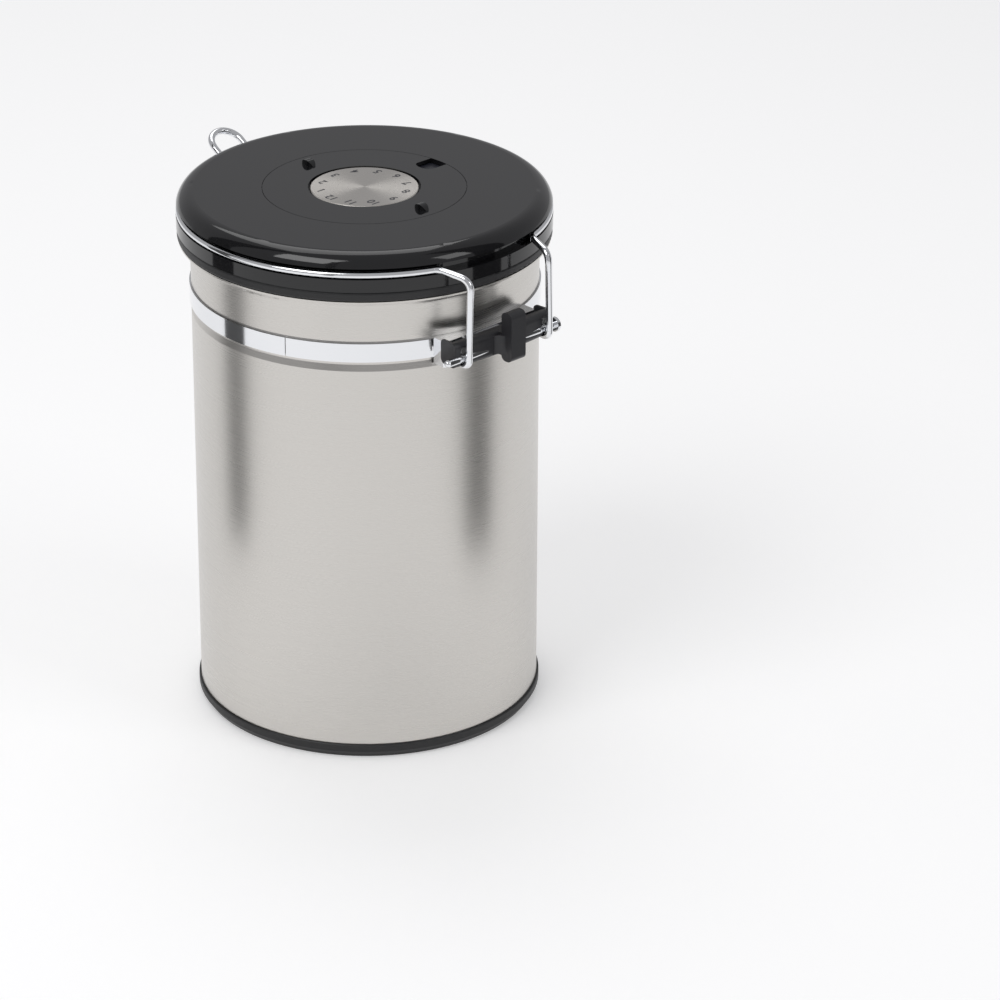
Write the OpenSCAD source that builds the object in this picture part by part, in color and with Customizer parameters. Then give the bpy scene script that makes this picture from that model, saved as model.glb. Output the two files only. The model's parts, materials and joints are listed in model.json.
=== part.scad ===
// Coffee canister with a one-way valve, a date dial and a wire clamp lid.
// Millimetres. Origin at the centre of the foot ring on the ground, +Z up.
// The latch faces -Y and the lid's hinge is at +Y.

/* [Can] */
// Outer radius of the steel can
can_r = 59; // [50:0.5:70]
// Height of the can's sealing rim
rim_z = 169.5; // [120:0.5:200]
// Thickness of the can's sheet
wall = 0.6; // [0.4:0.1:1.2]
// Radius of the cove under the rim, on the outside
cove_r = 3; // [1:0.5:5]
// Width of the flat flange beyond the cove
flange_w = 0.9; // [0.3:0.1:3]
// Height at which the can's sheet starts, above the ground
sheet_z = 1.6; // [0.5:0.1:3]
// Height of the rubber foot ring
foot_h = 4.9; // [3:0.1:8]
// How far the foot ring's standing edge lies inside the can's wall
foot_in = 0.8; // [0.3:0.1:3]

/* [Strap] */
// Bottom of the strap
strap_z = 146.9; // [100:0.1:180]
// Height of the strap
strap_h = 6.5; // [4:0.1:12]
// Thickness of the strap
strap_t = 1.2; // [0.8:0.1:2]
// How deep the groove for the strap is
groove_d = 0.65; // [0.2:0.05:1.5]
// Angle of the strap's seam
seam_a = -158.4; // [-180:0.1:180]

/* [Lid] */
// How far the lid's skirt stands out beyond the rim
lid_over = 0.6; // [0.3:0.1:3]
// Height of the lid's top face above the rim
lid_h = 16.2; // [14:0.1:24]
// Radius of the lid's rounded top edge
lid_edge = 5.9; // [2:0.1:8]
// Height of the lip round the lid's top
lip_h = 4.4; // [3:0.1:5.5]
// Height of the skirt ring, below the wire's groove
skirt_h = 4.5; // [3:0.1:6]
// Thickness of the seal between the rim and the skirt ring
gasket_t = 3.45; // [2:0.05:5]
// Gap between the free seal and the rim
gasket_gap = 0.15; // [0.05:0.05:0.5]
// Depth of the wire's groove
wire_groove = 2.6; // [1.5:0.1:4]
// Gap between the plug and the can's inside
plug_gap = 1.4; // [1.3:0.1:3]
// How far the plug reaches below the rim
plug_d = 6; // [5:0.1:12]
// How far the lid's screws stand inside the plug's wall
screw_in = 11; // [6:0.5:20]

/* [Dial] */
// Radius of the steel month disc
disc_r = 18.35; // [10:0.05:25]
// How far the month disc's face lies below the lid's
disc_low = 0.2; // [0:0.1:0.6]
// Radius of the pocket for the dial
pocket_r = 34.5; // [25:0.1:46]
// Gap round the month disc
disc_gap = 0.65; // [0.2:0.05:1.5]
// Gap round the date ring
dial_gap = 0.2; // [0.1:0.05:0.6]
// Inner radius of the date window
window_in = 25.5; // [20:0.1:32]
// Width of the date window at the ring's edge
window_w = 7.8; // [3:0.1:12]
// Radius of the month disc's stem
stem_r = 2.92; // [1.5:0.01:5]

/* [Valve] */
// Radius of the valve's seat
seat_r = 12; // [8:0.5:18]
// Radius of the rubber flap
flap_r = 8.5; // [5:0.1:11]
// How far the flap lifts
flap_lift = 1.1; // [0.3:0.1:2]

/* [Wire clamp] */
// Radius of the clamp's wire
wire_r = 1.2; // [0.8:0.1:2]
// Gap between the wire and the groove's lower side
wire_gap = 0.1; // [0:0.05:1]
// Angle at which the wire leaves the groove, from the front
leave_a = 21.5; // [10:0.5:40]
// Radius of the wire's bends
bend_r = 4; // [2:0.5:8]
// How far the legs stand out from the lid's skirt
leg_out = 7; // [5:0.1:10]
// How far the legs' eyes lie inside the latch bracket's cheeks
leg_in = 2.2; // [1.9:0.1:5]
// How far each leg leans sideways
leg_lean = 0.7; // [0:0.1:2]
// Height of the lever's pin above the strap's lower edge
pin_up = 2.7; // [1:0.1:6]
// Radius of the lever's pin
pin_r = 1.3; // [0.8:0.05:2]
// Running clearance between the lever's pin and the eyes
pin_gap = 0.07; // [0.01:0.01:0.1]

/* [Lever] */
// How far the lever passes the latch bracket on each side
lever_over = 1.7; // [1:0.1:4]
// Height of the lever's bar
lever_h = 8.6; // [6:0.1:14]
// Depth of the lever's bar
lever_d = 8; // [5:0.1:12]
// How far the lever's front face lies behind the legs' middle
lever_in = 1.1; // [0.5:0.1:2]
// Radius of the lever's curve, seen from above
lever_curve = 180; // [70:5:400]
// Width of the thumb tab
tab_w = 6.5; // [4:0.1:12]
// How far the thumb tab stands out from the lever
tab_out = 5.4; // [4:0.1:9]
// How far the thumb tab rises above the lever's bar
tab_up = 7.2; // [3:0.1:9]
// How far the thumb tab hangs below the lever's bar
tab_down = 1.4; // [0.5:0.1:4]

/* [Latch bracket] */
// Half the width of the bracket
box_x = 20.5; // [12:0.1:28]
// Depth of the bracket in front of the strap
box_d = 2.05; // [1.9:0.05:3]
// How far the bracket reaches below the strap
box_low = 2.3; // [1:0.1:5]
// How far the bracket reaches above the strap
box_high = 0.4; // [0.2:0.1:3]
// Thickness of the bracket's sheet
sheet = 0.8; // [0.5:0.1:1.5]

/* [Hinge] */
// How far the hinge's axis lies behind the lid's skirt
hinge_out = 4.9; // [4:0.1:8]
// Height of the hinge's axis above the rim
hinge_up = 0.3; // [0:0.1:1.5]
// Radius of the hinge pin
hinge_r = 1.2; // [0.8:0.1:2]
// Running clearance between the hinge pin and the leaf's knuckle
hinge_gap = 0.06; // [0.01:0.01:0.1]
// Half the width of the leaf's knuckle
knuckle_x = 6.6; // [4:0.1:12]

/* [Hidden] */
$fn = 96;
in_r = can_r - wall;
floor_r = can_r - groove_d;
strap_r = floor_r + strap_t;
strap_z1 = strap_z + strap_h;
groove_z0 = strap_z - 1.3;
groove_z1 = strap_z1 + 0.4;
cove_z = rim_z - wall - cove_r;
cove_c = can_r + cove_r;
flange_r = cove_c + flange_w;
foot_r = can_r - foot_in;
box_y = strap_r + box_d;
box_z0 = strap_z - box_low;
box_z1 = strap_z1 + box_high;
rivet_x = box_x - 6.5;
rivet_a = asin(rivet_x / strap_r);
lid_r = flange_r + lid_over;
lid_z = rim_z + lid_h;
lip_z = lid_z - lip_h;
gasket_z = rim_z + gasket_gap;
skirt_z0 = gasket_z + gasket_t;
skirt_z = skirt_z0 + skirt_h;
wire_floor = lid_r - wire_groove;
plug_r = in_r - plug_gap;
plug_z = rim_z - plug_d;
screw_pcr = plug_r - screw_in;
ring_r = pocket_r - dial_gap;
ring_in = disc_r + disc_gap;
disc_z = lid_z - disc_low;
edge_c = lid_r - lid_edge;
edge_z = lid_z - lid_edge;
pocket_z = lid_z - 2.1;
top_in = lid_z - 2;
under_z = pocket_z - 1.6;
wire_z = skirt_z + wire_r + wire_gap;
leg_y = lid_r + leg_out;
leg_x0 = box_x - leg_in;
leg_x1 = leg_x0 - leg_lean;
pin_z = strap_z + pin_up;
ring_c = wire_floor + 0.25 + wire_r;
eye_c = pin_r + pin_gap + wire_r;
pin_y = leg_y - eye_c;
lever_x = box_x + lever_over;
lever_y = leg_y - lever_in;
lever_z0 = pin_z - 3;
lever_z1 = lever_z0 + lever_h;
lever_mid = lever_z0 + lever_h / 2;
tab_y = lever_y + tab_out;
tab_z1 = lever_z1 + tab_up;
tab_z0 = lever_z0 - tab_down;
leaf_r = ring_c + wire_r;
hinge_y = lid_r + hinge_out;
hinge_z = rim_z + hinge_up;
black = [0.13, 0.13, 0.14];
steel = [0.72, 0.7, 0.67];
bright = [0.85, 0.87, 0.9];

function unit(v) = v / norm(v);
// Any unit vector at right angles to v
function side(v) = unit(abs(v[2]) < 0.9 * norm(v) ? cross(v, [0, 0, 1]) : cross(v, [1, 0, 0]));

// Columns x, y, z and origin c as a matrix
function placed(x, y, z, c) = [
    [x[0], y[0], z[0], c[0]],
    [x[1], y[1], z[1], c[1]],
    [x[2], y[2], z[2], c[2]],
    [0, 0, 0, 1]
];

// A straight round rod from a to b
module rod(a, b, r) {
    d = unit(b - a);
    x = side(d);
    multmatrix(placed(x, cross(d, x), d, a)) cylinder(h = norm(b - a), r = r);
}

// The bend of a wire at corner q, coming along unit vector d and leaving along e
module bend(q, d, e, big, r) {
    a = acos(d * e);
    n = unit(e - (d * e) * d);
    c = q - big * tan(a / 2) * d + big * n;
    multmatrix(placed(-n, d, cross(-n, d), c))
        rotate_extrude(angle = a) translate([big, 0]) circle(r = r, $fn = 32);
}

// How far a bend of radius big between directions d and e eats into each side
function eaten(d, e, big) = big * tan(acos(d * e) / 2);

// A flat ring
module ring(r1, r0, z0, z1) {
    translate([0, 0, z0]) difference() {
        cylinder(h = z1 - z0, r = r1);
        translate([0, 0, -1]) cylinder(h = z1 - z0 + 2, r = r0);
    }
}

// A plate standing across X, from a profile drawn in Y and Z
module across(x0, x1) {
    translate([x0, 0, 0]) rotate([90, 0, 90]) linear_extrude(height = x1 - x0) children();
}

// A rectangle with rounded corners, from [a, b] to [c, d]
module rounded(a, b, c, d, r) {
    translate([a + r, b]) square([c - a - 2 * r, d - b]);
    translate([a, b + r]) square([c - a, d - b - 2 * r]);
    for (x = [a + r, c - r], y = [b + r, d - r]) translate([x, y]) circle(r = r, $fn = 32);
}

// The sheet body: foot seam, groove for the strap, cove and sealing flange
module can_body() {
    color(steel) rotate_extrude($fn = 180) {
        translate([in_r, sheet_z]) square([wall, groove_z0 - 2.2 - sheet_z]);
        polygon([
            [in_r, groove_z0 - 2.2], [can_r, groove_z0 - 2.2],
            [floor_r, groove_z0], [floor_r, groove_z1],
            [can_r, groove_z1 + 0.3], [can_r, groove_z1 + 0.9],
            [in_r, groove_z1 + 0.9], [in_r, groove_z1 + 0.5],
            [floor_r - wall, groove_z1 + 0.2], [floor_r - wall, groove_z0 - 0.1]
        ]);
        translate([in_r, groove_z1 + 0.9]) square([wall, cove_z - groove_z1 - 0.9]);
        intersection() {
            translate([cove_c, cove_z]) difference() {
                circle(r = cove_r + wall);
                circle(r = cove_r);
            }
            translate([in_r, cove_z]) square([cove_r + wall, cove_r + wall]);
        }
        translate([cove_c, rim_z - wall]) square([flange_r - cove_c, wall]);
    }
}

// The pressed bottom, seamed inside the body's lower end
module can_bottom() {
    color(steel) rotate_extrude($fn = 180) {
        translate([in_r - wall, sheet_z]) square([wall, 2.4]);
        translate([0, sheet_z + 1.8]) square([in_r - wall, wall]);
    }
}

// The rubber foot ring, with its inner lip under the bottom
module foot_ring() {
    color(black) rotate_extrude($fn = 180) polygon([
        [in_r - 5.4, 0], [foot_r, 0], [can_r + 0.75, sheet_z + 0.7], [can_r + 0.75, foot_h - 0.3],
        [can_r + 0.45, foot_h], [can_r, foot_h], [can_r, sheet_z], [in_r - wall - 0.05, sheet_z],
        [in_r - wall - 0.05, sheet_z + 1.5], [in_r - 2, sheet_z + 1.5], [in_r - 2, 1.2], [in_r - 5.4, 1.2]
    ]);
}

// Places for the rivets that hold the two brackets to the strap
module at_rivets(a) {
    for (b = [-rivet_a, rivet_a]) rotate([0, 0, a + b]) translate([0, 0, strap_z + strap_h / 2]) rotate([0, 90, 0]) children();
}

// The strap in the can's groove, open at its seam
module strap() {
    color(bright) difference() {
        ring(strap_r, floor_r, strap_z, strap_z1, $fn = 180);
        rotate([0, 0, seam_a]) translate([can_r - 3, -0.15, strap_z - 1]) cube([6, 0.3, strap_h + 2]);
        for (a = [-90, 90]) at_rivets(a) translate([0, 0, can_r - 4]) cylinder(h = 8, r = 1.2, $fn = 32);
    }
}

// The stamped bracket that the lever closes over
module latch_bracket() {
    color(bright) difference() {
        union() {
            difference() {
                translate([0, 0, box_z0]) linear_extrude(height = box_z1 - box_z0)
                    rounded(-box_x, -box_y, box_x, -can_r + 14, 1.2);
                translate([0, 0, box_z0 + sheet]) linear_extrude(height = box_z1 - box_z0 - 2 * sheet)
                    rounded(-box_x + sheet, -box_y + sheet, box_x - sheet, -can_r + 12, 0.5);
            }
            intersection() {
                ring(strap_r + 0.6, strap_r - 0.5, box_z0 + 0.4, box_z1 - 0.4, $fn = 180);
                translate([-box_x + 0.4, -box_y, box_z0]) cube([2 * box_x - 0.8, 20, box_z1 - box_z0]);
            }
        }
        translate([0, 0, box_z0 - 1]) cylinder(h = box_z1 - box_z0 + 2, r = strap_r, $fn = 180);
        translate([-7, -box_y - 1, box_z0 + 1.2]) cube([14, sheet + 1.4, box_z1 - box_z0 - 2.2]);
        at_rivets(-90) translate([0, 0, can_r - 4]) cylinder(h = 8, r = 1.2, $fn = 32);
    }
}

// A rivet through a bracket and the strap, along +Z, with its head outside
module rivet(head) {
    translate([0, 0, floor_r + 0.05]) cylinder(h = head - floor_r - 0.05, r = 1.19, $fn = 32);
    translate([0, 0, head]) cylinder(h = 0.55, r1 = 2, r2 = 1.5, $fn = 32);
}

// Two rivets inside the latch bracket
module latch_rivets() {
    color(steel) at_rivets(-90) rivet(strap_r + 0.6);
}

// The bracket at the back: a plate on the strap with two ears
module hinge_bracket() {
    color(bright) difference() {
        union() {
            intersection() {
                ring(strap_r + 1, strap_r, box_z0 + 0.9, hinge_z - 5.3, $fn = 180);
                union() {
                    translate([-rivet_x - 4, can_r - 12, box_z0]) cube([2 * rivet_x + 8, 20, box_z1 - box_z0 + 0.4]);
                    translate([-knuckle_x - 4.4, can_r - 12, box_z0]) cube([2 * knuckle_x + 8.8, 20, hinge_z - box_z0]);
                }
            }
            for (x = [-knuckle_x - 1.5, knuckle_x + 0.3]) across(x, x + 1.2) {
                polygon([
                    [strap_r + 0.6, strap_z + 4.1], [strap_r + 0.6, hinge_z - 5.5], [hinge_y - 2.2, hinge_z + 1.6],
                    [hinge_y + 2, hinge_z - 1.8], [strap_r + 3.25, strap_z + 4.1]
                ]);
                translate([hinge_y, hinge_z]) circle(r = 2.7, $fn = 48);
            }
        }
        translate([-20, hinge_y, hinge_z]) rotate([0, 90, 0]) cylinder(h = 40, r = hinge_r + 0.02, $fn = 48);
        at_rivets(90) translate([0, 0, can_r - 4]) cylinder(h = 8, r = 1.2, $fn = 32);
    }
}

// Two rivets that hold the hinge bracket to the strap
module hinge_rivets() {
    color(steel) at_rivets(90) rivet(strap_r + 1);
}

// The hinge pin with its two heads
module hinge_pin() {
    color(steel) translate([0, hinge_y, hinge_z]) rotate([0, 90, 0]) {
        translate([0, 0, -knuckle_x - 1.6]) cylinder(h = 2 * knuckle_x + 3.2, r = hinge_r, $fn = 48);
        for (s = [-1, 1]) translate([0, 0, s * (knuckle_x + 1.95)])
            cylinder(h = 0.7, r1 = s < 0 ? 1.5 : 2, r2 = s < 0 ? 2 : 1.5, center = true, $fn = 48);
    }
}

// The curved leaf behind the lid, rolled round the hinge pin at its foot
module hinge_leaf() {
    color(bright) difference() {
        union() {
            intersection() {
                ring(leaf_r + 0.8, leaf_r, hinge_z + 1.7, lip_z + 0.3, $fn = 180);
                rotate([0, 0, 90]) translate([0, 0, hinge_z]) linear_extrude(height = 40)
                    polygon([[0, 0], [100, -100 * tan(14.5)], [100, 100 * tan(14.5)]]);
            }
            translate([-knuckle_x, leaf_r + 0.3, hinge_z + 1.7]) cube([2 * knuckle_x, hinge_y - leaf_r - 0.3, 0.8]);
            translate([-knuckle_x, hinge_y, hinge_z]) rotate([0, 90, 0]) cylinder(h = 2 * knuckle_x, r = 2.5, $fn = 48);
        }
        translate([-20, hinge_y, hinge_z]) rotate([0, 90, 0]) cylinder(h = 40, r = hinge_r + hinge_gap, $fn = 48);
    }
}

// The wire loop that stands out behind the hinge leaf, coped to the leaf's back
module rear_loop() {
    foot = [0, leaf_r, skirt_z - 0.3];
    d = unit([0, 10.8, 6.6]);
    big = 6;
    color(bright) difference() {
        union() {
            for (s = [-1, 1]) rod(foot + [s * big, 0, 0], foot + [s * big, 0, 0] + 8.2 * d, wire_r - 0.03);
            multmatrix(placed([1, 0, 0], d, cross([1, 0, 0], d), foot + 8 * d))
                rotate_extrude(angle = 180) translate([big, 0]) circle(r = wire_r, $fn = 32);
        }
        cylinder(h = 250, r = leaf_r + 0.8, $fn = 180);
    }
}

// One side of the clamp wire's front: out of the groove, down the leg, round the eye
module wire_leg() {
    t = [-cos(leave_a), -sin(leave_a), 0];
    e = [ring_c * sin(leave_a), -ring_c * cos(leave_a), wire_z];
    p1 = [leg_x1, -leg_y, wire_z - 1.6];
    p0 = [leg_x0, -leg_y, pin_z];
    q = e + 2.1 * t;
    u = unit(p1 - q);
    v = unit(p0 - p1);
    big = 1.8 / tan(acos(t * u) / 2);
    slim = wire_r - 0.03;
    rod(e - 0.3 * t, e + 0.6 * t, slim);
    bend(q, t, u, big, wire_r);
    rod(q + 1.5 * u, p1 - (eaten(u, v, bend_r) - 0.3) * u, slim);
    bend(p1, u, v, bend_r, wire_r);
    rod(p1 + (eaten(u, v, bend_r) - 0.3) * v, p0 + 0.2 * v, slim);
    translate([leg_x0, -pin_y, pin_z]) rotate([90, 0, -90]) rotate([0, 0, -265])
        rotate_extrude(angle = 265) translate([eye_c, 0]) circle(r = wire_r, $fn = 32);
}

// The clamp wire that lies in the lid's groove and reaches down to the lever
module clamp_wire() {
    color(bright) {
        translate([0, 0, wire_z]) rotate([0, 0, -90 + leave_a])
            rotate_extrude(angle = 360 - 2 * leave_a, $fn = 180) translate([ring_c, 0]) circle(r = wire_r, $fn = 32);
        wire_leg();
        mirror([1, 0, 0]) wire_leg();
    }
}

// Places of the four screws in the lid
module at_screws() {
    for (a = [45, 135, 225, 315]) rotate([0, 0, a]) translate([screw_pcr, 0, 0]) children();
}

// The lid's top: rounded cap, pocket for the dial, screw bosses and vent holes
module lid_cap() {
    color(black) difference() {
        union() {
            rotate_extrude($fn = 180) difference() {
                union() {
                    translate([0, lip_z]) square([edge_c, lid_z - lip_z]);
                    intersection() {
                        translate([edge_c, edge_z]) circle(r = lid_edge);
                        translate([edge_c - 1, lip_z]) square([lid_edge + 2, lid_z - lip_z + 1]);
                    }
                    translate([wire_floor - 2.3, skirt_z]) square([2.3, lip_z - skirt_z + 0.5]);
                }
                translate([-1, lip_z - 1]) square([wire_floor - 2.3 + 1, top_in - lip_z + 1]);
            }
            translate([0, 0, pocket_z - 1.6]) cylinder(h = 2, r = pocket_r + 1.8, $fn = 120);
            at_screws() translate([0, 0, plug_z + 1.6]) cylinder(h = top_in - plug_z - 1.2, r = 3.5, $fn = 48);
        }
        difference() {
            translate([0, 0, pocket_z]) cylinder(h = 5, r = pocket_r, $fn = 120);
            translate([0, 0, pocket_z - 1]) cylinder(h = 1.5, r = 15.42, $fn = 96);
        }
        translate([0, 0, pocket_z - 3]) cylinder(h = 6, r = stem_r + 0.08, $fn = 48);
        for (a = [0:60:300]) rotate([0, 0, a + 30]) translate([22, 0, pocket_z - 3]) cylinder(h = 6, r = 0.7, $fn = 24);
        at_screws() translate([0, 0, plug_z + 1]) cylinder(h = 12, r = 1.3, $fn = 32);
    }
}

// The skirt ring under the wire's groove, with a spigot inside the cap
module lid_skirt() {
    color(black) rotate_extrude($fn = 180) {
        translate([lid_r - 2.2, skirt_z0]) square([2.2, skirt_z - skirt_z0]);
        translate([plug_r + 0.2, skirt_z - 1.7]) square([lid_r - plug_r - 0.2, 1.7]);
        translate([plug_r + 0.2, skirt_z0]) square([1.7, skirt_z - skirt_z0]);
        translate([plug_r + 0.2, skirt_z - 0.5]) square([1.3, 3.5]);
    }
}

// The plug that closes the lid from below and reaches into the can
module lid_plug() {
    color([0.2, 0.2, 0.21]) difference() {
        rotate_extrude($fn = 180) {
            translate([plug_r - 1.6, plug_z]) square([1.6, 12]);
            translate([0, plug_z]) square([plug_r - 1, 1.6]);
            translate([plug_r - 0.5, plug_z + 2.6]) square([1.2, 1.1]);
        }
        translate([0, 0, plug_z - 1]) cylinder(h = 4, r = seat_r + 0.05);
        at_screws() translate([0, 0, plug_z - 1]) cylinder(h = 4, r = 1.6, $fn = 32);
    }
}

// The silicone seal: a flange on the can's rim and a lip inside its mouth
module gasket() {
    color([0.1, 0.1, 0.11]) rotate_extrude($fn = 180) {
        rounded(plug_r + 0.05, gasket_z, lid_r - 0.2, skirt_z0, 0.9);
        translate([plug_r + 0.05, plug_z + 3.75]) square([1.05, 4]);
        translate([plug_r + 0.05, gasket_z]) square([3, skirt_z0 - gasket_z]);
        translate([plug_r + 0.05, skirt_z0 - 1]) square([lid_r - 1.2 - plug_r, 1]);
    }
}

// Four screws that draw the plug up to the cap
module lid_screws() {
    color(steel) at_screws() difference() {
        union() {
            translate([0, 0, plug_z - 1.7]) cylinder(h = 1.7, r1 = 2.2, r2 = 2.9, $fn = 32);
            translate([0, 0, plug_z - 0.1]) cylinder(h = 11.5, r = 1.28, $fn = 32);
        }
        for (a = [0, 90]) rotate([0, 0, a]) translate([-1.4, -0.3, plug_z - 2]) cube([2.8, 0.6, 1.2]);
    }
}

// The fixed plate under the date window
module date_plate() {
    color([0.06, 0.07, 0.12]) ring(pocket_r - 0.3, window_in - 2.1, pocket_z, pocket_z + 0.5, $fn = 120);
}

// The date ring with its window and two grips
module date_ring() {
    color(black) difference() {
        union() {
            ring(ring_r, ring_in, lid_z - 1.2, lid_z, $fn = 120);
            ring(ring_in + 1.5, ring_in, pocket_z + 0.1, lid_z - 1, $fn = 96);
            ring(ring_in + 1.5, 15.5, pocket_z + 0.1, pocket_z + 0.6, $fn = 96);
            for (a = [-90, 90]) rotate([0, 0, a]) intersection() {
                translate([28.2, 0, lid_z - 1.4]) rotate([90, 0, 0]) cylinder(h = 8, r = 3.2, center = true, $fn = 48);
                translate([28.2, 0, lid_z - 0.5]) scale([1, 0.45, 1]) cylinder(h = 5, r = 3.1, $fn = 48);
            }
        }
        translate([0, 0, lid_z - 3]) {
            translate([window_in + 2.4, -window_w / 2, 0]) cube([20, window_w, 6]);
            translate([window_in + 2.4, 0, 0]) scale([2.4 / (window_w / 2), 1, 1]) cylinder(h = 6, r = window_w / 2, $fn = 48);
        }
    }
}

// The spun steel month disc and its stem
module month_disc() {
    color(steel) {
        translate([0, 0, disc_z - 1.2]) cylinder(h = 0.9, r = disc_r);
        translate([0, 0, disc_z - 0.3]) cylinder(h = 0.3, r1 = disc_r, r2 = disc_r - 0.3);
        difference() {
            translate([0, 0, under_z - 3.2]) cylinder(h = disc_z - 1.1 - under_z + 3.2, r = stem_r, $fn = 48);
            ring(stem_r + 1, stem_r - 0.62, under_z - 1.05, under_z - 0.25, $fn = 48);
        }
    }
}

// The clip that keeps the month disc's stem in the cap
module disc_clip() {
    color(steel) difference() {
        ring(stem_r + 2.28, stem_r - 0.6, under_z - 1, under_z - 0.3, $fn = 48);
        translate([0, -1.7, under_z - 2]) cube([stem_r + 5, 3.4, 3]);
    }
}

// The valve's seat, pressed into the plug
module valve_seat() {
    color([0.75, 0.75, 0.74]) difference() {
        translate([0, 0, plug_z]) cylinder(h = 2.6, r = seat_r);
        translate([0, 0, plug_z - 1]) cylinder(h = 5, r = 1.6, $fn = 32);
        for (a = [0:60:300]) rotate([0, 0, a]) translate([5.2, 0, plug_z - 1]) cylinder(h = 5, r = 1.3, $fn = 24);
    }
}

// The rubber flap that lifts to let gas out and drops to keep air out
module valve_flap() {
    color([0.85, 0.35, 0.2]) {
        translate([0, 0, plug_z + 2.65]) cylinder(h = 0.9, r = flap_r);
        translate([0, 0, plug_z - 2]) cylinder(h = 5, r = 1.45, $fn = 32);
        translate([0, 0, plug_z - 1.6 - flap_lift]) cylinder(h = 1.4, r1 = 1.5, r2 = 2.1, $fn = 32);
    }
}

// The cage over the flap
module valve_cage() {
    color([0.75, 0.75, 0.74]) difference() {
        translate([0, 0, plug_z + 2.6]) cylinder(h = 2.1 + flap_lift, r = seat_r - 0.8, $fn = 64);
        translate([0, 0, plug_z + 2]) cylinder(h = 1.7 + flap_lift, r = flap_r + 1.3, $fn = 64);
        for (a = [0:45:315]) rotate([0, 0, a]) translate([6, 0, plug_z + 2]) cylinder(h = 6, r = 1.4, $fn = 24);
    }
}

// The felt filter that keeps coffee dust off the seat
module valve_filter() {
    color([0.9, 0.88, 0.82]) ring(seat_r + 1, 2.9, plug_z - 1.1, plug_z - 0.1, $fn = 64);
}

// The perforated cover under the filter
module valve_grille() {
    color([0.2, 0.2, 0.21]) difference() {
        translate([0, 0, plug_z - 3.9]) cylinder(h = 3.9, r = seat_r + 3, $fn = 96);
        translate([0, 0, plug_z - 2.9]) cylinder(h = 4, r = seat_r + 1.6, $fn = 96);
        for (a = [0:60:300]) rotate([0, 0, a]) translate([5, 0, plug_z - 5]) cylinder(h = 4, r = 1.1, $fn = 24);
        for (a = [0:30:330]) rotate([0, 0, a]) translate([9.6, 0, plug_z - 5]) cylinder(h = 4, r = 1.1, $fn = 24);
    }
}

// The black lever: bar, thumb tab, hollow back and slots for the eyes
module lever_grip() {
    sweep = asin(lever_x / lever_curve);
    color(black) difference() {
        union() {
            translate([0, lever_curve - lever_y, 0]) rotate([0, 0, -90 - sweep])
                rotate_extrude(angle = 2 * sweep, $fn = 720)
                    rounded(lever_curve - lever_d, lever_z0, lever_curve, lever_z1, 1.8);
            across(-tab_w / 2, tab_w / 2) {
                rounded(-tab_y, tab_z0, -tab_y + 4.8, tab_z1, 1.9);
                translate([-tab_y + 2, lever_z0 + 0.3]) square([tab_y - lever_y + 2, lever_h - 0.6]);
            }
            for (s = [-1, 1]) difference() {
                translate([s < 0 ? -tab_w / 2 - 3 : tab_w / 2 - 0.01, -lever_y - 3, lever_z0 + 1]) cube([3.01, 3.6, lever_h - 2]);
                translate([s * (tab_w / 2 + 3), -lever_y - 3, lever_z0]) cylinder(h = lever_h, r = 3, $fn = 48);
            }
        }
        translate([-box_x - 0.4, -lever_y + 4, lever_z0 - 1]) cube([2 * box_x + 0.8, 12, lever_h + 2]);
        for (s = [-1, 1]) across(s * leg_x0 - 1.6, s * leg_x0 + 1.6) {
            translate([-pin_y, pin_z]) circle(r = eye_c + wire_r + 0.35, $fn = 64);
            translate([-tab_y, pin_z - eye_c - wire_r - 0.35]) square([tab_y - pin_y, 2 * (eye_c + wire_r + 0.35)]);
        }
        translate([-40, -pin_y, pin_z]) rotate([0, 90, 0]) cylinder(h = 80, r = pin_r + 0.01, $fn = 48);
        for (s = [-1, 1]) translate([s * 9, -lever_y + 1.4, lever_mid + 1.6]) rotate([-90, 0, 0]) cylinder(h = 4, r = 0.82, $fn = 24);
    }
}

// The lever's pin: a round end on the left, a head on the right
module lever_pin() {
    color(bright) translate([0, -pin_y, pin_z]) rotate([0, 90, 0]) {
        translate([0, 0, -lever_x - 3]) cylinder(h = 2 * lever_x + 3.8, r = pin_r, $fn = 48);
        translate([0, 0, -lever_x - 3]) sphere(r = pin_r, $fn = 48);
        translate([0, 0, lever_x + 0.4]) cylinder(h = 1.2, r = 2.5, $fn = 48);
        translate([0, 0, lever_x + 1.6]) cylinder(h = 0.8, r1 = 2.5, r2 = 1.6, $fn = 48);
    }
}

// The steel claw on the lever's back
module lever_claw() {
    color(bright) difference() {
        union() {
            translate([-11.5, -lever_y + 4, lever_mid - 0.6]) cube([23, sheet, 4.4]);
            translate([-5.5, -lever_y + 4, lever_mid + 0.3]) cube([11, lever_y - box_y - 4.3, sheet]);
        }
        for (s = [-1, 1]) translate([s * 9, -lever_y + 3, lever_mid + 1.6]) rotate([-90, 0, 0]) cylinder(h = 4, r = 0.82, $fn = 24);
    }
}

// Two rivets that hold the claw in the lever
module claw_rivets() {
    color(steel) for (s = [-1, 1]) translate([s * 9, 0, lever_mid + 1.6]) rotate([-90, 0, 0]) {
        translate([0, 0, -lever_y + 1.5]) cylinder(h = 2.5 + sheet, r = 0.81, $fn = 24);
        translate([0, 0, -lever_y + 4 + sheet]) cylinder(h = 0.5, r1 = 1.4, r2 = 1, $fn = 24);
    }
}

can_body();
can_bottom();
foot_ring();
strap();
latch_bracket();
latch_rivets();
hinge_bracket();
hinge_rivets();
hinge_pin();
hinge_leaf();
rear_loop();
clamp_wire();
lid_cap();
lid_skirt();
lid_plug();
gasket();
lid_screws();
date_plate();
date_ring();
month_disc();
disc_clip();
valve_seat();
valve_flap();
valve_cage();
valve_filter();
valve_grille();
lever_grip();
lever_pin();
lever_claw();
claw_rivets();
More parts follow.
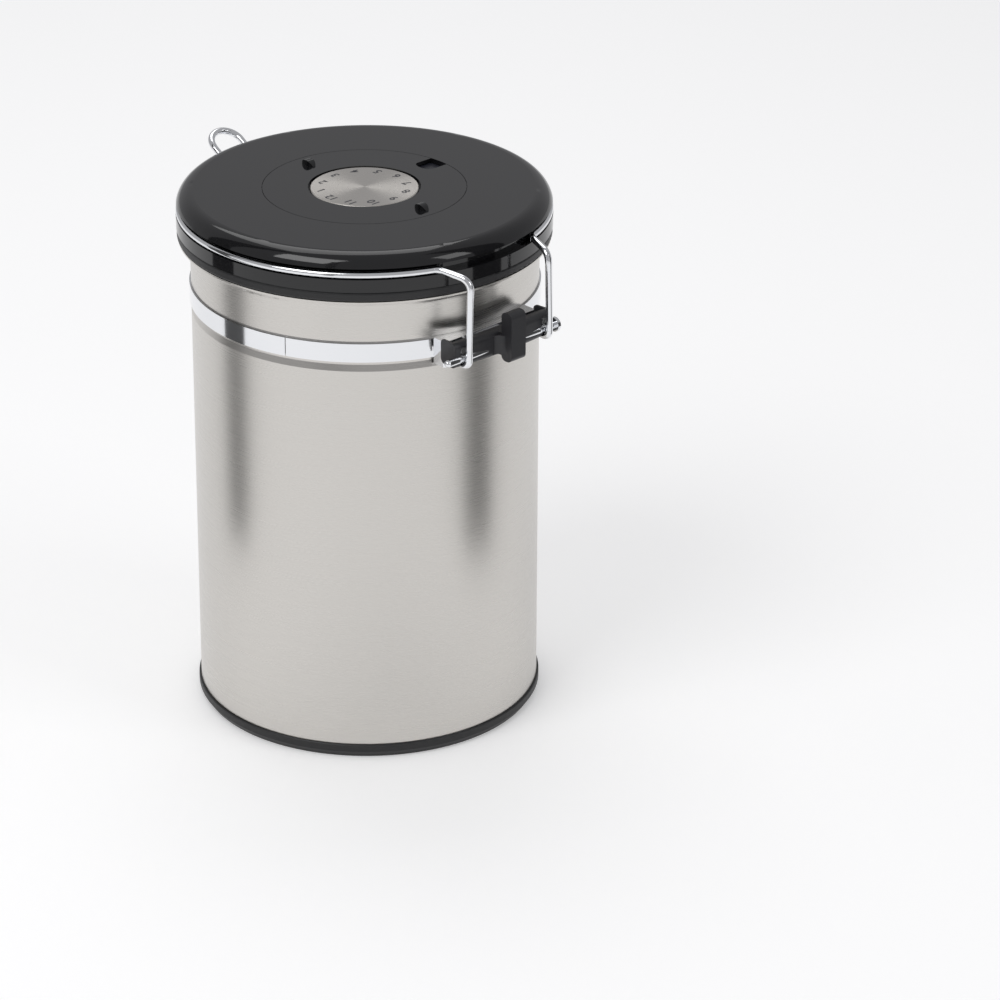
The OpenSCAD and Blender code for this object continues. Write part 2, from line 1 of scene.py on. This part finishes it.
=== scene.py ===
"""Coffee canister with a one-way valve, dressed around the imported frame.

Finishes for every CAD node, plain numerals on the month disc, a pale studio
and the photograph's camera. All lengths are in metres.
"""
import json
import math

import bmesh
import bpy
from mathutils import Matrix, Vector


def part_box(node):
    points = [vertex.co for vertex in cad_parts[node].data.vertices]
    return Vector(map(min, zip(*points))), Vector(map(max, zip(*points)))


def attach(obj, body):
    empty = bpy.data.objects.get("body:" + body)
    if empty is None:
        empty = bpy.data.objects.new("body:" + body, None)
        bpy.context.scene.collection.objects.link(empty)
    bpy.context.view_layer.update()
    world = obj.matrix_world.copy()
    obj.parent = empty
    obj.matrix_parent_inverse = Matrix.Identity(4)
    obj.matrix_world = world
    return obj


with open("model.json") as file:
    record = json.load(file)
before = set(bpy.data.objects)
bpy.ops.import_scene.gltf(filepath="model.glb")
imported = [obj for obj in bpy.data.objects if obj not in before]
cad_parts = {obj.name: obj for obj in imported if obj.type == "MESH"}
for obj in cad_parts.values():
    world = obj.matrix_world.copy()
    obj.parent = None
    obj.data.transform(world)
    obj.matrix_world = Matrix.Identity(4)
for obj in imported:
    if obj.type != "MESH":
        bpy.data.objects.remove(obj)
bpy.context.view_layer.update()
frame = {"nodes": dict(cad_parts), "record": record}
scene = bpy.context.scene
scene.view_settings.view_transform = "Standard"

# ---------------------------------------------------------------- camera
# Solved from the photograph: focal length in pixels of a 1000-pixel frame,
# place, and the directions of its right, up and forward axes.
FOCAL_PX = 4478.508
FRAME_PX = 1000
SENSOR_MM = 36.0
CAMERA_AT = Vector((-0.94071, -1.04476, 0.73015))
CAMERA_RIGHT = Vector((0.722106, -0.691772, 0.003766))
CAMERA_UP = Vector((0.291905, 0.309631, 0.904942))
CAMERA_BACK = Vector((-0.627180, -0.652365, 0.425518))

cam_data = bpy.data.cameras.new("camera")
cam_data.sensor_width = SENSOR_MM
cam_data.lens = FOCAL_PX / FRAME_PX * SENSOR_MM
cam_data.clip_end = 20
camera = bpy.data.objects.new("camera", cam_data)
rotation = Matrix((CAMERA_RIGHT, CAMERA_UP, CAMERA_BACK)).transposed().to_4x4()
camera.matrix_world = Matrix.Translation(CAMERA_AT) @ rotation
scene.collection.objects.link(camera)
scene.camera = camera


# ---------------------------------------------------------------- materials
class Shader:
    """A Principled material and short calls for the nodes that vary it."""

    def __init__(self, name, color, metallic=0.0, roughness=0.4, **more):
        self.slot = name
        self.mat = bpy.data.materials.new(name)
        self.mat.use_nodes = True
        self.tree = self.mat.node_tree
        self.bsdf = self.tree.nodes["Principled BSDF"]
        self.set("Base Color", (*color, 1))
        self.set("Metallic", metallic)
        self.set("Roughness", roughness)
        for key, value in more.items():
            self.set(key.replace("_", " "), value)

    def set(self, socket, value):
        self.bsdf.inputs[socket].default_value = value

    def node(self, kind, **values):
        made = self.tree.nodes.new(kind)
        for key, value in values.items():
            setattr(made, key, value)
        return made

    def link(self, a, b):
        self.tree.links.new(a, b)

    def math(self, operation, a, b):
        made = self.node("ShaderNodeMath", operation=operation)
        for i, value in enumerate((a, b)):
            if isinstance(value, (int, float)):
                made.inputs[i].default_value = value
            else:
                self.link(value, made.inputs[i])
        return made.outputs[0]

    def noise(self, vector, scale, detail=2.0):
        made = self.node("ShaderNodeTexNoise")
        made.inputs["Scale"].default_value = scale
        made.inputs["Detail"].default_value = detail
        self.link(vector, made.inputs["Vector"])
        return made.outputs["Fac"]

    def coordinates(self, scale=(1, 1, 1)):
        place = self.node("ShaderNodeTexCoord")
        mapping = self.node("ShaderNodeMapping")
        mapping.inputs["Scale"].default_value = scale
        self.link(place.outputs["Object"], mapping.inputs["Vector"])
        return mapping.outputs["Vector"]

    def radius(self, grain):
        """A vector that changes with the distance from the Z axis only."""
        flat = self.coordinates((1, 1, 0))
        length = self.node("ShaderNodeVectorMath", operation="LENGTH")
        self.link(flat, length.inputs[0])
        joined = self.node("ShaderNodeCombineXYZ")
        grained = self.math("MULTIPLY", length.outputs["Value"], grain)
        self.link(grained, joined.inputs["X"])
        return joined.outputs["Vector"]

    def vary(self, socket, fac, low, high):
        """The socket goes from low to high as fac goes from 0 to 1."""
        span = self.math("MULTIPLY", fac, high - low)
        self.link(self.math("ADD", span, low), self.bsdf.inputs[socket])

    def bump(self, height, strength, distance):
        made = self.node("ShaderNodeBump")
        made.inputs["Strength"].default_value = strength
        made.inputs["Distance"].default_value = distance
        self.link(height, made.inputs["Height"])
        self.link(made.outputs["Normal"], self.bsdf.inputs["Normal"])


BRUSH_ACROSS = 3  # grain of the can's brushing along the circumference
BRUSH_UP = 5200  # and up the can, where its lines lie close together
SPIN_GRAIN = 5200  # rings of the spun month disc
FINE = 0.00004  # height of the spun rings

body_steel = Shader("body_steel", (0.62, 0.60, 0.57), 1.0, 0.3, Anisotropic=0.55)
along = body_steel.coordinates((BRUSH_ACROSS, BRUSH_ACROSS, BRUSH_UP))
lines = body_steel.noise(along, 1.0, 3.0)
body_steel.vary("Roughness", lines, 0.24, 0.32)
body_steel.bump(lines, 0.03, 0.00002)

dial_steel = Shader("dial_steel", (0.60, 0.575, 0.54), 1.0, 0.3, Anisotropic=0.8)
spun = dial_steel.noise(dial_steel.radius(SPIN_GRAIN), 1.0, 2.0)
dial_steel.vary("Roughness", spun, 0.22, 0.36)
dial_steel.bump(spun, 0.1, FINE)

bright_steel = Shader("bright_steel", (0.80, 0.81, 0.83), 1.0, 0.1)
fasteners = Shader("fasteners", (0.66, 0.66, 0.65), 1.0, 0.28)

lid_black = Shader("lid_black", (0.008, 0.008, 0.009), 0.0, 0.07)
mottle = lid_black.noise(lid_black.coordinates(), 90.0, 2.0)
lid_black.vary("Roughness", mottle, 0.05, 0.09)

lever_black = Shader("lever_black", (0.02, 0.02, 0.023), 0.0, 0.42)
grain = lever_black.noise(lever_black.coordinates(), 2600.0, 2.0)
lever_black.bump(grain, 0.12, 0.00005)

plug_black = Shader("plug_black", (0.03, 0.03, 0.032), 0.0, 0.45)
dial_dark = Shader("dial_dark", (0.012, 0.013, 0.02), 0.0, 0.3)
valve_white = Shader("valve_white", (0.70, 0.70, 0.68), 0.0, 0.45)
seal_black = Shader("seal_black", (0.014, 0.014, 0.015), 0.0, 0.5)
flap_red = Shader("flap_red", (0.55, 0.16, 0.10), 0.0, 0.5)
felt = Shader("felt", (0.78, 0.75, 0.68), 0.0, 0.9)
fuzz = felt.noise(felt.coordinates(), 1800.0, 3.0)
felt.bump(fuzz, 0.5, 0.0002)

SLOT_OF = {row["node"]: row["material_slot"] for row in frame["record"]["subparts"]}
SHADERS = {shader.slot: shader for shader in (
    body_steel, dial_steel, bright_steel, fasteners, lid_black, lever_black,
    plug_black, dial_dark, valve_white, seal_black, flap_red, felt)}
for name, obj in frame["nodes"].items():
    for held in obj.material_slots:
        held.material = SHADERS[SLOT_OF[name]].mat

# ---------------------------------------------------------------- numerals
# Plain numbers 1 to 12 printed on the month disc, all upright one way.
NUMERAL_RADIUS = 0.0147
NUMERAL_SIZE = 0.0045
NUMERAL_BOLD = 0.00006
NUMBERS = 12
INK = 0.00003  # thickness of the print
INK_MIDDLE = 0.4  # the print's middle above the face, in thicknesses
WELD = 1e-7
face_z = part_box("month_disc")[1][2]

ink = bmesh.new()
for number in range(1, NUMBERS + 1):
    curve = bpy.data.curves.new("numeral", "FONT")
    curve.body = str(number)
    curve.size = NUMERAL_SIZE
    curve.align_x = curve.align_y = "CENTER"
    curve.extrude = INK / 2
    curve.offset = NUMERAL_BOLD
    curve.resolution_u = 4
    text = bpy.data.objects.new("numeral", curve)
    scene.collection.objects.link(text)
    bpy.context.view_layer.update()
    depsgraph = bpy.context.evaluated_depsgraph_get()
    mesh = bpy.data.meshes.new_from_object(text.evaluated_get(depsgraph))
    angle = math.radians(180 - 360 / NUMBERS * number)
    at = Vector((math.cos(angle) * NUMERAL_RADIUS, math.sin(angle) * NUMERAL_RADIUS,
                 face_z + INK * INK_MIDDLE))
    mesh.transform(Matrix.Translation(at) @ Matrix.Rotation(math.pi / 2, 4, "Z"))
    ink.from_mesh(mesh)
    bpy.data.objects.remove(text)
bmesh.ops.remove_doubles(ink, verts=ink.verts, dist=WELD)
numerals_mesh = bpy.data.meshes.new("month_numerals")
ink.to_mesh(numerals_mesh)
ink.free()
numerals = bpy.data.objects.new("month_numerals", numerals_mesh)
numerals_mesh.materials.append(dial_dark.mat)
scene.collection.objects.link(numerals)
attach(numerals, "dial_disc")

# ---------------------------------------------------------------- studio
HALF = 6.0  # half the floor's side
FLOOR_SHADE = 0.9
FLOOR_GLOW = 0.25  # lifts the floor to white for the camera and for reflections
WORLD_SHADE = (0.42, 0.42, 0.43, 1)

floor_mesh = bpy.data.meshes.new("floor")
corners = [(-HALF, -HALF, 0), (HALF, -HALF, 0), (HALF, HALF, 0), (-HALF, HALF, 0)]
floor_mesh.from_pydata(corners, [], [(0, 1, 2, 3)])
floor = bpy.data.objects.new("floor", floor_mesh)
scene.collection.objects.link(floor)

white = bpy.data.materials.new("floor_white")
white.use_nodes = True
nodes, links = white.node_tree.nodes, white.node_tree.links
paper = nodes["Principled BSDF"]
paper.inputs["Base Color"].default_value = (FLOOR_SHADE, FLOOR_SHADE, FLOOR_SHADE, 1)
paper.inputs["Roughness"].default_value = 0.8
path = nodes.new("ShaderNodeLightPath")
seen = nodes.new("ShaderNodeMath")
seen.operation = "MAXIMUM"
links.new(path.outputs["Is Camera Ray"], seen.inputs[0])
links.new(path.outputs["Is Glossy Ray"], seen.inputs[1])
through = nodes.new("ShaderNodeMath")
through.operation = "MAXIMUM"
links.new(seen.outputs[0], through.inputs[0])
links.new(path.outputs["Is Transmission Ray"], through.inputs[1])
glow = nodes.new("ShaderNodeMath")
glow.operation = "MULTIPLY"
glow.inputs[1].default_value = FLOOR_GLOW
links.new(through.outputs[0], glow.inputs[0])
paper.inputs["Emission Color"].default_value = (1, 1, 1, 1)
links.new(glow.outputs[0], paper.inputs["Emission Strength"])
floor_mesh.materials.append(white)

world = bpy.data.worlds.new("world")
world.use_nodes = True
world.node_tree.nodes["Background"].inputs["Color"].default_value = WORLD_SHADE
scene.world = world


LAMPS_FACE = Vector((0, 0, 0.1))  # the canister's middle


def lamp(name, azimuth, elevation, distance, size, power):
    """A square softbox that faces the canister's middle."""
    a, e = math.radians(azimuth), math.radians(elevation)
    back = Vector((math.sin(a) * math.cos(e), -math.cos(a) * math.cos(e), math.sin(e)))
    data = bpy.data.lights.new(name, "AREA")
    data.size = size
    data.energy = power
    made = bpy.data.objects.new(name, data)
    made.matrix_world = (Matrix.Translation(LAMPS_FACE + back * distance)
                         @ back.to_track_quat("Z", "Y").to_matrix().to_4x4())
    scene.collection.objects.link(made)


lamp("key", -85, 50, 1.4, 0.7, 5.5)
lamp("fill", 20, 35, 1.5, 0.6, 2.5)
lamp("top", 150, 60, 1.4, 0.9, 4.0)


def card(name, azimuth, distance, width, height, shade):
    """A standing card, dark or grey, that only reflections show."""
    a = math.radians(azimuth)
    mid = Vector((math.sin(a), -math.cos(a), 0)) * distance
    side = Vector((math.cos(a), math.sin(a), 0)) * width / 2
    up = Vector((0, 0, height))
    mesh = bpy.data.meshes.new(name)
    corners = [mid - side, mid + side, mid + side + up, mid - side + up]
    mesh.from_pydata(corners, [], [(0, 1, 2, 3)])
    mat = bpy.data.materials.new(name)
    mat.use_nodes = True
    matt = mat.node_tree.nodes["Principled BSDF"]
    matt.inputs["Base Color"].default_value = (shade, shade, shade, 1)
    mesh.materials.append(mat)
    made = bpy.data.objects.new(name, mesh)
    made.visible_camera = made.visible_shadow = made.visible_diffuse = False
    scene.collection.objects.link(made)


card("card_right", 26, 0.2, 0.07, 0.6, 0.06)
card("card_left", -125, 0.2, 0.06, 0.6, 0.1)
card("card_middle", -62, 0.6, 0.06, 0.8, 0.3)
